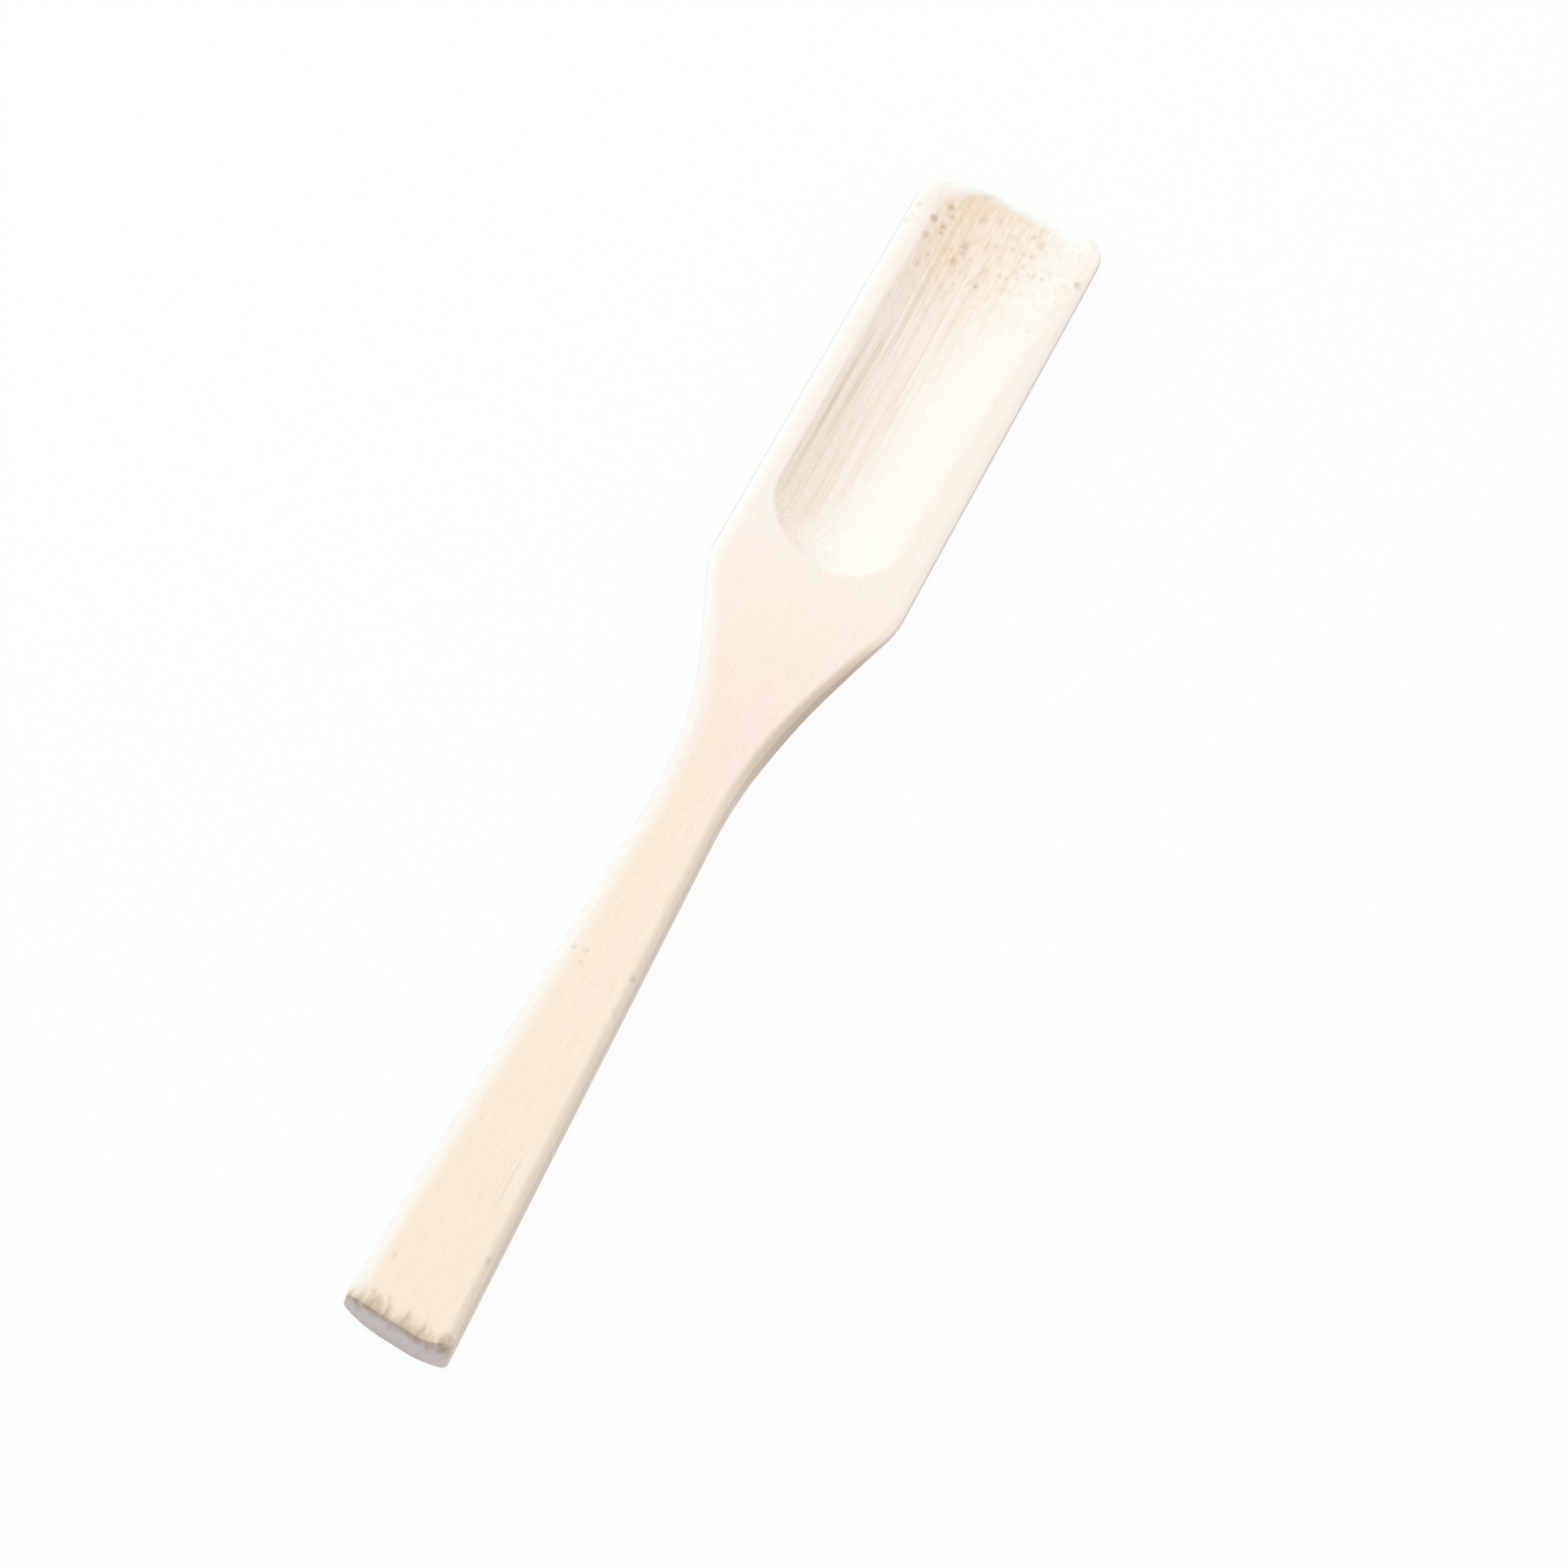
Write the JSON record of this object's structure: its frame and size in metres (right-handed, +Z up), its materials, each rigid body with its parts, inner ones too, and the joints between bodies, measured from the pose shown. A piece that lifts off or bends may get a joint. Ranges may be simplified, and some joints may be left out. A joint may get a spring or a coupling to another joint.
{
  "type": "tea scoop",
  "caption": "Hand-carved bamboo tea scoop: flat tapering handle, flared neck and a long head with a round-bottomed trough that opens over a thin front lip.",
  "frame": {"origin": "under the middle of the scoop's box, on the surface that it lies on", "axes": "+Y along the scoop from the handle end to the tip, +X to the right seen from the handle, +Z up out of the flat upper face"},
  "size_m": [0.0252, 0.1808, 0.005],
  "materials": {
    "bamboo": "pale planed bamboo with fine lengthwise fibres, satin, unvarnished"
  },
  "bodies": {
    "root": {"scoop_body": "bamboo"}
  },
  "joints": []
}
